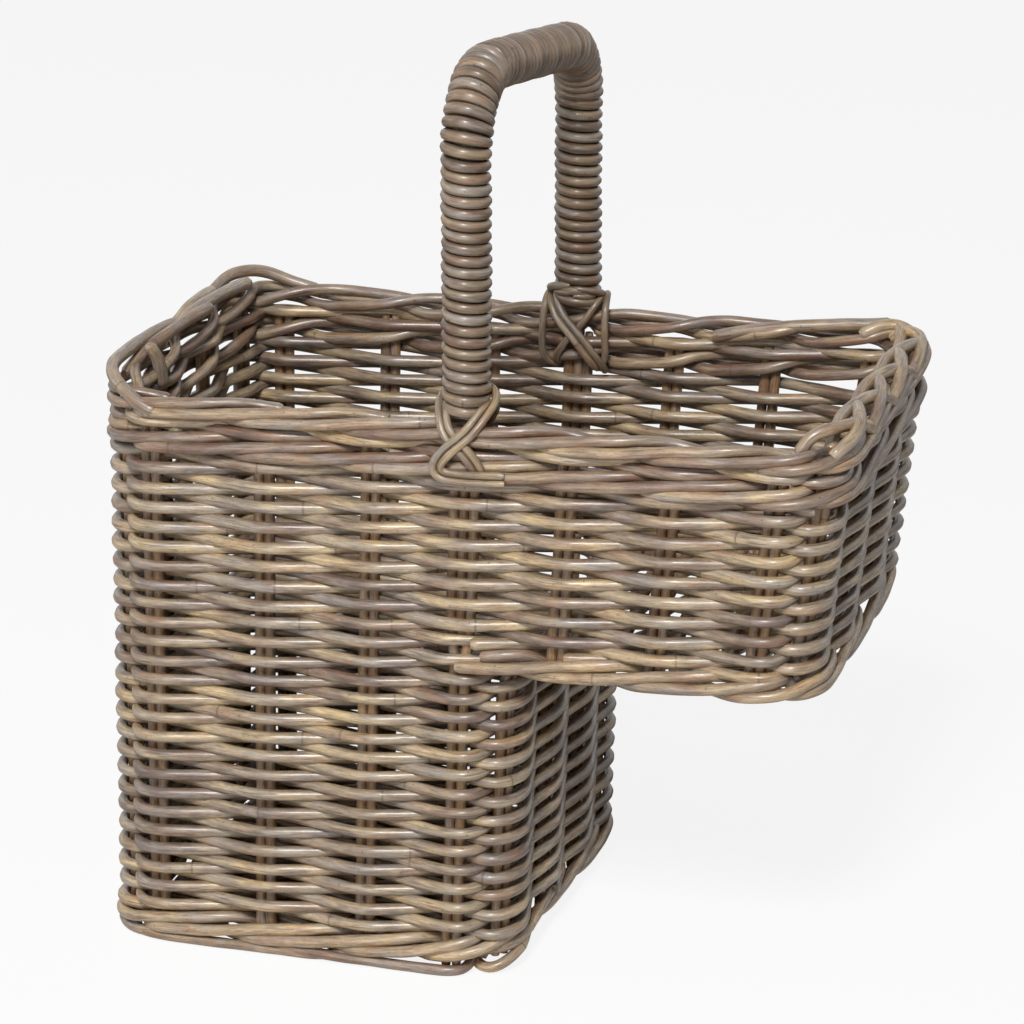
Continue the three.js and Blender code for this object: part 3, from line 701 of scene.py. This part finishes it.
def buildWeavers():
    starts = weave["binStarts"]
    strands = chasingWeavers(binRing, weave["binBottom"], weave["binTop"], starts, starts)
    for number, rods in enumerate(strands, 1):
        names = nodesLike(f"bin_weaver_{number}")
        makeRods(f"binWeavers{number}", rods, weaverLook, names)
    strands = chasingWeavers(wholeRing, weave["upperBottom"], weave["upperTop"],
                             weave["upperLevels"], weave["upperStarts"])
    for number, rods in enumerate(strands, 1):
        names = nodesLike(f"upper_weaver_{number}")
        makeRods(f"upperWeavers{number}", rods, weaverLook, names)
    makeRods("stepWeavers", stepRods(), weaverLook, nodesLike("step_weaver"))


# Wales: three rods, each outside two stakes and inside the third.
# A rod comes out below, rises along two stakes and goes in above.

# A route's points are (stake number, outward, height).
# A lift or pull is (stake number, by how much, width in stakes).
wale = {
    "rod": 7.0,
    "climb": 5.8,
    "clear": 0.4,
    "behind": 3.5,            # how far past a stake's middle a rod stays behind it
    "jitter": 0.4,
    "thickness": (0.94, 1.04),
    "tones": (0.12, 0.88),
    "foot": 12.8,
    "footFirst": 11,          # stakes where the bands start
    "shelf": 198.2,
    "shelfRun": (3, 14),
    "packed": 206,            # a plain row between the shelf's band and its first full row
    "packedRun": (26, 37),
    "lowerRim": 312.8,
    "rimFirst": 2,
    # the foot band rises and draws in at the inner corner, where the bin's end stands back
    "footLifts": [(4.0, 5.5, 1.2), (6, 2.5, 1.5)],
    "footPulls": [(4.3, -5, 1.3), (6, -2, 1.5)],
    "shelfLifts": [(10.5, 3, 1.1)],
    "shelfPulls": [(10.5, -4.5, 1.1)],
    "lowerRimLifts": [(10.8, 4, 1.4)],
    # thinner rods run under the foot band and loop round the corner stakes
    "under": 6.4,
    "underThickness": (0.95, 1.05),
    "underRuns": [(8, 10.6), (10, 12.8), (12, 14.9), (14, 16.3), (15.6, 18.2)],
    "underStart": [(-0.45, -5, 7), (-0.2, 3, 3), (0, 7, 0.6), (0.8, 7.6, 0)],
    "underEnd": [(-0.7, 7.4, 0), (-0.3, 6, 2), (0, 0, 5), (0.3, -6, 8)],
    "cornerLoops": [
        [(16.7, -4, 9), (17.0, 4, 7), (17.3, 7.5, 5.5), (17.8, 8, 4.2), (18.5, 7.5, 3.5),
         (19.0, 7, 3.3), (19.25, 4, 3.4), (19.4, -2, 5), (19.45, -7, 10)],
        [(19.5, -9, 7), (19.55, -4, 3.6), (19.75, 4, 3.4), (19.95, 6, 6),
         (20.2, 5.5, 12), (20.5, 2, 17), (20.7, -4, 20)],
    ],
}


def liftAt(ring, place, lifts):
    count = ring["count"]
    total = 0
    for middle, height, width in lifts:
        away = (place - middle + count / 2) % count - count / 2
        total += height * math.exp(-(away / width) ** 2)
    return total


def waleKeys(ring, first, last, strand, centre, shape):
    # climbing by one rod in each space packs the band tightly
    keys = []
    climb = shape["climb"]
    inside = shape["inside"]
    stand = (stakes["rod"] + shape["rod"]) / 2 + wale["clear"]
    low = -climb / 2
    for index in range(first, last):
        behind = min(wale["behind"] / stationGap(ring, index, centre), 0.2)
        jitter = random.uniform(-wale["jitter"], wale["jitter"])
        # the newest rod lies outermost, the one about to go in lies under it
        comesOut = [(0, stand + 2.2, low), (0.5, stand + 2.4, low * 0.5 + jitter),
                    (0.95, stand + 1.4, climb / 2)]
        goesIn = [(0.25, stand + 0.5, climb * 0.75 + jitter), (0.52, stand * 0.8, climb),
                  (0.76, -stand * 0.1, climb * 1.05), (1 - behind, -stand, inside)]
        runsBehind = [(behind, -stand, inside - 1), (0.4, -stand * 0.8, -climb * 0.45),
                      (0.68, -stand * 0.1, -climb * 0.95), (0.88, stand + 0.8, low - climb * 0.15)]
        for share, offset, z in (comesOut, goesIn, runsBehind)[(index + strand) % 3]:
            place = index + share
            keys.append((place, offset + liftAt(ring, place, shape["pulls"]),
                         centre + z + liftAt(ring, place, shape["lifts"])))
    return keys


def waleRods(ring, first, last, strand, centre, shape, breaks):
    # breaks are stakes that a rod ends behind, and the next begins at
    rods = []
    marks = [first, *[b for b in breaks if first < b < last], last]
    for begin, end in zip(marks, marks[1:]):
        keys = waleKeys(ring, begin, end, strand, centre, shape)
        if (begin + strand) % 3 == 2:
            keys.insert(0, (begin - 0.1, keys[0][1] + 0.5, centre - shape["climb"] * 0.6))
        if (end + strand) % 3 == 2:
            keys.append((end + 0.14, keys[-1][1] + 0.3, keys[-1][2] - 0.8))
        path = followRing(ring, keys, reach=7)
        diameter = shape["rod"] * random.uniform(*wale["thickness"])
        rods.append(rodOf(path, diameter, random.uniform(*wale["tones"])))
    return rods


def closedWale(ring, first, centre, shape):
    # the stakes count one more than a multiple of three, so one strand of three turns closes the band
    strand = (2 - first) % 3
    count = ring["count"]
    breaks = (first + count - 1, first + 2 * count - 2)
    return waleRods(ring, first, first + 3 * count, strand, centre, shape, breaks)


def buildFootBorders():
    shape = {"rod": wale["rod"], "climb": wale["climb"], "inside": 1,
             "lifts": wale["footLifts"], "pulls": wale["footPulls"]}
    rods = closedWale(binRing, wale["footFirst"], wale["foot"], shape)
    low = wale["under"] / 2 + wale["clear"]
    for begin, end in wale["underRuns"]:
        keys = [(begin + place, out, low + up) for place, out, up in wale["underStart"]]
        keys += [(end + place, out, low + up) for place, out, up in wale["underEnd"]]
        path = followRing(binRing, keys)
        rods.append(rodOf(path, wale["under"] * random.uniform(*wale["underThickness"])))
    for keys in wale["cornerLoops"]:
        rods.append(rodOf(followRing(binRing, keys), wale["under"]))
    makeRods("binFootBorder", rods, borderLook, nodesLike("bin_foot_wale"))
    shape = dict(shape, inside=-2, lifts=wale["shelfLifts"], pulls=wale["shelfPulls"])
    rods = []
    for strand in range(3):
        rods += waleRods(wholeRing, *wale["shelfRun"], strand, wale["shelf"], shape, ())
    keys = weaverKeys(wholeRing, *wale["packedRun"], 0, lambda p: wale["packed"])
    rods.append(rodOf(followRing(wholeRing, keys), weave["rod"]))
    makeRods("shelfFootBorder", rods, borderLook, nodesLike("shelf_foot_wale"))


# Rim: two wales, the upper one of them with thicker rods arched over it on the two short walls

border = {
    "rod": 6.9,
    "climb": 5.0,
    "centre": 333.2,
    "between": 323.4,         # plain rows, squeezed between the two wales
    "betweenHalf": 1.6,
    "betweenFirst": 14,
    "lifts": [(10.6, 4.5, 1.6), (19.3, 1.5, 1.8)],
    "inside": 2.5,
    "arch": 7.8,
    "archThickness": (0.94, 1.03),
    "archTones": (0.3, 0.9),
    "leftArches": [
        # round the corner from the front wall, then along the outside
        [(22.1, 8.5, 331), (21.9, 9.5, 336), (21.65, 9.5, 342), (21.3, 9, 346.5), (20.9, 8, 349),
         (20.4, 7.5, 349.5), (19.9, 7, 348), (19.4, 6.5, 344), (19.05, 5, 338)],
        [(19.75, 7.5, 337), (19.4, 7.5, 343), (19.0, 7.5, 347),
         (18.6, 7.5, 347), (18.2, 7.5, 344), (17.9, 6, 338)],
        # over the top, each with its cut tip inside
        [(20.38, -8, 326), (20.42, -8.5, 337), (20.47, -7, 346), (20.54, -4, 352)],
        [(20.7, 7, 337), (20.35, 3, 345), (20.0, -2, 349), (19.5, -5, 350), (19.08, -7, 349)],
        [(19.75, 6, 338), (19.45, 2, 346), (19.15, -2, 350.5), (18.6, -5, 349.5), (18.03, -7, 346)],
        [(18.95, 6, 337), (18.5, 7, 345), (18.05, 7, 349), (17.6, 5, 349.5),
         (17.25, 3, 347), (16.95, 2, 342), (16.7, 5, 337)],
    ],
    # one rod of the back wall runs out over the corner, its cut end free
    "backCornerEnd": [(12.6, -7, 332), (12.3, -6, 337), (11.9, -3, 341),
                      (11.4, 1, 343.5), (11.0, 2.5, 345.5), (10.7, 3, 347)],
    # a plait of two arches that cross, again and again along the shelf's end
    "rightArches": [
        [(-0.5, -5, 336), (-0.3, -7.5, 344), (-0.05, -7.5, 348), (0.25, -3, 349.5),
         (0.5, 2.5, 348), (0.7, 6.5, 343.5), (0.85, 9, 337)],
        [(0.05, 7.5, 337), (0.25, 8.5, 343.5), (0.5, 6, 348), (0.8, 0.5, 349.5),
         (1.0, -4.5, 347.5), (1.15, -7.5, 343)],
    ],
    "rightFirst": 6.85,
    "rightStep": 0.78,
    "rightDrop": 0.5,
    "rightCount": 5,
}


def archRoutes():
    routes = [*border["leftArches"], border["backCornerEnd"]]
    for step in range(border["rightCount"]):
        start = border["rightFirst"] + step * border["rightStep"]
        for arch in border["rightArches"]:
            routes.append([(start + place, out, z - border["rightDrop"] * step) for place, out, z in arch])
    return routes


def buildRim():
    lower = {"rod": wale["rod"], "climb": border["climb"], "inside": 1,
             "lifts": wale["lowerRimLifts"], "pulls": []}
    rods = closedWale(wholeRing, wale["rimFirst"], wale["lowerRim"], lower)
    makeRods("lowerRim", rods, borderLook, nodesLike("lower_rim_wale"))
    upper = {"rod": border["rod"], "climb": border["climb"], "inside": border["inside"],
             "lifts": border["lifts"], "pulls": []}
    rods = closedWale(wholeRing, wale["rimFirst"], border["centre"], upper)
    first = border["betweenFirst"]
    for phase, side in enumerate((1, -1)):
        level = border["between"] + side * border["betweenHalf"]
        keys = weaverKeys(wholeRing, first, first + wholeRing["count"], phase,
                          lambda p: level + 0.8 * liftAt(wholeRing, p, border["lifts"]))
        rods.append(rodOf(followRing(wholeRing, keys), weave["rod"], random.uniform(*wale["tones"])))
    for route in archRoutes():
        path = followRing(wholeRing, route, reach=6)
        diameter = border["arch"] * random.uniform(*border["archThickness"])
        rods.append(rodOf(path, diameter, random.uniform(*border["archTones"])))
    makeRods("rimBorder", rods, borderLook, nodesLike("rim_wale"))


# Handle: a bow with a rod wound closely round it

handle = {
    "x": 213.5,
    "stand": 113,             # legs' distance from the middle
    "foot": 346,
    "frontTop": 540,
    "backTop": 506,
    "frontBend": 42,
    "backBend": 40,
    "core": 17,
    "coreSteps": 140,
    "coil": 11.1,             # middle of the wrapping rod
    "rod": 6.6,
    "pitch": 6.75,
    "bendPitch": 0.7,         # less on a bend, where the turns crowd on its inner side
    "bendOut": 0.5,
    "bendSwell": 0.2,
    "topThin": 0.05,
    "waver": 0.2,
    "waverRate": 0.17,        # radians in a millimetre
    "squeeze": 0.15,
    "stepsPerTurn": 24,
}


def bowParts():
    # straights and bends in order, each with its start, heading and length; the bow is higher at the front
    half = handle["stand"]
    slant = math.atan2(handle["backTop"] - handle["frontTop"], 2 * half)
    parts = []
    y, z = -half, handle["foot"]
    corners = [(-half, handle["frontTop"], math.pi / 2, slant, handle["frontBend"]),
               (half, handle["backTop"], slant, -math.pi / 2, handle["backBend"])]
    for cornerY, cornerZ, before, after, radius in corners:
        cut = radius * math.tan((before - after) / 2)
        parts.append((y, z, before, math.hypot(cornerY - y, cornerZ - z) - cut, None))
        y, z = cornerY - math.cos(before) * cut, cornerZ - math.sin(before) * cut
        parts.append((y, z, before, radius * (before - after), radius))
        y, z = cornerY + math.cos(after) * cut, cornerZ + math.sin(after) * cut
    parts.append((y, z, -math.pi / 2, z - handle["foot"], None))
    return parts


def bowPoint(distance, parts):
    # y, z and heading at a distance along the bow, and how deep it is in a bend
    rest = distance
    for number, (y, z, heading, length, radius) in enumerate(parts):
        if rest <= length or number == len(parts) - 1:
            break
        rest -= length
    if radius is None:
        return y + math.cos(heading) * rest, z + math.sin(heading) * rest, heading, 0
    turned = heading - rest / radius
    y += radius * (math.sin(heading) - math.sin(turned))
    z -= radius * (math.cos(heading) - math.cos(turned))
    return y, z, turned, math.sin(math.pi * rest / length)


def bindingRod(x, parts, total):
    points, sizes, axes = [], [], []
    place, turn, squeeze = 0, 0, 0
    while place < total:
        y, z, heading, bent = bowPoint(place, parts)
        angle = turn * 2 * math.pi / handle["stepsPerTurn"]
        waver = handle["waver"] * math.sin(place * handle["waverRate"])
        reach = handle["coil"] + handle["bendOut"] * bent + waver
        side, face = math.cos(angle) * reach, math.sin(angle) * reach
        # the coil's second direction lies across the bow, on its outer side
        points.append((x + side, y - math.sin(heading) * face, z + math.cos(heading) * face))
        level = math.cos(heading) ** 4      # the top run is wrapped a little looser
        thin = 1 - handle["topThin"] * level * (1 - bent)
        sizes.append(thin * (1 + handle["bendSwell"] * bent * max(math.sin(angle), 0)))
        axes.append((0, math.cos(heading), math.sin(heading)))
        if turn % handle["stepsPerTurn"] == 0:
            squeeze = random.uniform(-handle["squeeze"], handle["squeeze"])
        place += (handle["pitch"] - handle["bendPitch"] * bent + squeeze) / handle["stepsPerTurn"]
        turn += 1
    binding = rodOf(points, handle["rod"])
    binding["sizes"] = np.array(sizes)
    binding["axis"] = np.array(axes)
    return binding


def buildHandle():
    parts = bowParts()
    total = sum(length for y, z, heading, length, radius in parts)
    x = handle["x"] - basket["centre"]
    steps = handle["coreSteps"]
    bow = [(x, *bowPoint(total * k / steps, parts)[:2]) for k in range(steps + 1)]
    core = rodOf(rodPath(bow, 3, 3), handle["core"], 0.1)
    makeRods("handleCore", [core], coreLook, ["handle_core"], 16)
    binding = bindingRod(x, parts, total)
    makeRods("handleBinding", [binding], bindingLook, ["handle_binding"])


# Lashings: pairs of rods that cross over the border at each foot of the handle

# a route's points are (across, outward, up) from the top of the rim at the handle
lashing = {
    "rod": 4.5,
    "outwardWeight": 0.4,     # how much an outward step turns the pair, seen from the side
    "outside": [
        # one pair on top of the other, its tail tucked along the rim
        (2.3, [(1, -15, 15), (10, -14, 14), (15, -7, 12), (15, 2, 9), (11, 9, 3), (6.5, 14.5, -4),
               (-7, 17, -16), (-13, 16, -24), (-13.5, 15, -28), (-9, 15, -30.5), (5, 15, -31),
               (27, 13.5, -30)]),
        (2.3, [(-1, -15, 13), (-10, -13, 12), (-13.5, -6, 11), (-13, 2, 8), (-11, 8, 3), (-8, 13, -5),
               (7, 14, -19), (11.5, 12.5, -27), (10, 6, -31)]),
    ],
    "inside": [
        # the same pairs come down, cross and turn back out below the rim
        (2.4, [(-15, -2, 10), (-14, -9, 6), (-9, -13.5, -3), (4, -15, -17), (14, -14, -30),
               (17, -9, -36), (14, 0, -38)]),
        (0, [(15, -2, 9), (13, -9, 5), (8, -12.5, -4), (-6, -13, -20), (-12, -12, -30), (-11, -5, -34)]),
    ],
    "sideLoop": [(16, 6, 8), (18.5, -3, 9), (19, -10, 2), (19.5, -13, -12), (20, -12, -26),
                 (17, -8, -34), (12, -3, -36)],
}


def lashingRods(route, across, out, spread):
    # two rods side by side along a route, or one where spread is 0
    x = handle["x"] - basket["centre"]
    rim = basket["rimHeight"]
    half = wallEdges(wholeRing, rim)[2]
    rods = []
    for shift in ((-spread, spread) if spread else (0,)):
        points = []
        for k, (side, away, up) in enumerate(route):
            before, after = route[max(k - 1, 0)], route[min(k + 1, len(route) - 1)]
            dx = after[0] - before[0]
            dz = after[2] - before[2] - (after[1] - before[1]) * lashing["outwardWeight"]
            length = math.hypot(dx, dz) or 1
            points.append((x + across * (side - dz / length * shift), out * (half + away),
                           rim + up + dx / length * shift))
        rods.append(rodOf(rodPath(points, 2, 3.5), lashing["rod"]))
    return rods


def buildLashings():
    for name, node, out in (("frontLashing", "front_lashing", -1), ("backLashing", "back_lashing", 1)):
        rods = []
        for spread, route in lashing["outside"]:
            rods += lashingRods(route, -out, out, spread)
        for spread, route in lashing["inside"]:
            rods += lashingRods(route, out, out, spread)
        if out > 0:
            for across in (-1, 1):
                rods += lashingRods(lashing["sideLoop"], across, out, 0)
        makeRods(name, rods, bindingLook, [node])


buildStakes()
buildThroughStakes()
print("stakes made")
buildWeavers()
print("weavers made")
buildFootBorders()
buildRim()
buildFloors()
print("borders and floors made")
buildHandle()
buildLashings()
print("handle made")


# Studio

studio = {
    "floorSize": 12,
    "floorPlace": (0, 1, 0),
    "floorGrey": (0.86, 0.86, 0.86, 1),
    "floorGlow": 0.88,        # share of plain white in what the camera sees of the floor
    "skyLight": 0.08,         # what the white world gives as light
    "target": (0, 0, 0.2),
    "lamps": [
        ("key", (0.45, -2.9, 3.05), 0.85, 150),
        ("front fill", (-0.6, -4.6, 0.8), 2.2, 52),
        ("side fill", (-3.0, -1.2, 1.6), 1.4, 16),
    ],
}


def buildStudioFloor():
    bpy.ops.mesh.primitive_plane_add(size=studio["floorSize"], location=studio["floorPlace"])
    floor = bpy.context.object
    floor.name = "floor"
    material = bpy.data.materials.new("pale studio floor")
    material.use_nodes = True
    tree = material.node_tree
    tree.nodes.clear()
    matte = addNode(tree, "ShaderNodeBsdfDiffuse", {"Color": studio["floorGrey"]})
    glow = addNode(tree, "ShaderNodeEmission", {"Color": (1, 1, 1, 1), "Strength": 1})
    path = addNode(tree, "ShaderNodeLightPath")
    share = addNode(tree, "ShaderNodeMath", {"operation": "MULTIPLY", 1: studio["floorGlow"]},
                    {0: path.outputs["Is Camera Ray"]})
    mix = addNode(tree, "ShaderNodeMixShader", {},
                  {0: share.outputs[0], 1: matte.outputs[0], 2: glow.outputs[0]})
    addNode(tree, "ShaderNodeOutputMaterial", {}, {"Surface": mix.outputs[0]})
    floor.data.materials.append(material)


def buildSky():
    # white where the camera, a reflection or a clear piece sees it, and faint as light
    world = bpy.data.worlds.new("white studio")
    bpy.context.scene.world = world
    world.use_nodes = True
    tree = world.node_tree
    tree.nodes.clear()
    path = addNode(tree, "ShaderNodeLightPath")
    seen = path.outputs["Is Camera Ray"]
    for ray in ("Is Glossy Ray", "Is Transmission Ray"):
        either = addNode(tree, "ShaderNodeMath", {"operation": "MAXIMUM"}, {0: seen, 1: path.outputs[ray]})
        seen = either.outputs[0]
    strength = addNode(tree, "ShaderNodeMapRange", {"To Min": studio["skyLight"], "To Max": 1.0},
                       {"Value": seen})
    sky = addNode(tree, "ShaderNodeBackground", {"Color": (1, 1, 1, 1)}, {"Strength": strength.outputs[0]})
    addNode(tree, "ShaderNodeOutputWorld", {}, {"Surface": sky.outputs[0]})


def lookAngles(direction):
    x, y, z = direction
    flat = math.hypot(x, y)
    return math.atan2(flat, -z), 0, math.atan2(-x, y)


def addLamp(name, place, size, power):
    lamp = bpy.data.lights.new(name, "AREA")
    lamp.size = size
    lamp.energy = power
    holder = bpy.data.objects.new(name, lamp)
    bpy.context.scene.collection.objects.link(holder)
    holder.location = place
    holder.rotation_euler = lookAngles(np.array(studio["target"]) - np.array(place))


# Metres and degrees, fitted to the basket's corners and stakes
view = {
    "azimuth": 16.75,
    "elevation": 18.86,
    "distance": 2.775,
    "lens": 165.4,
    "sensor": 36,
    "target": (-0.0065, 0, 0.2475),
}


def buildCamera():
    a, e = math.radians(view["azimuth"]), math.radians(view["elevation"])
    toward = np.array([math.sin(a) * math.cos(e), -math.cos(a) * math.cos(e), math.sin(e)])
    camera = bpy.data.cameras.new("camera")
    camera.lens = view["lens"]
    camera.sensor_width = view["sensor"]
    holder = bpy.data.objects.new("camera", camera)
    bpy.context.scene.collection.objects.link(holder)
    holder.location = np.array(view["target"]) + toward * view["distance"]
    holder.rotation_euler = lookAngles(-toward)
    bpy.context.scene.camera = holder


buildStudioFloor()
buildSky()
for name, place, size, power in studio["lamps"]:
    addLamp(name, place, size, power)
buildCamera()
bpy.context.scene.view_settings.view_transform = "Standard"
print("studio made")
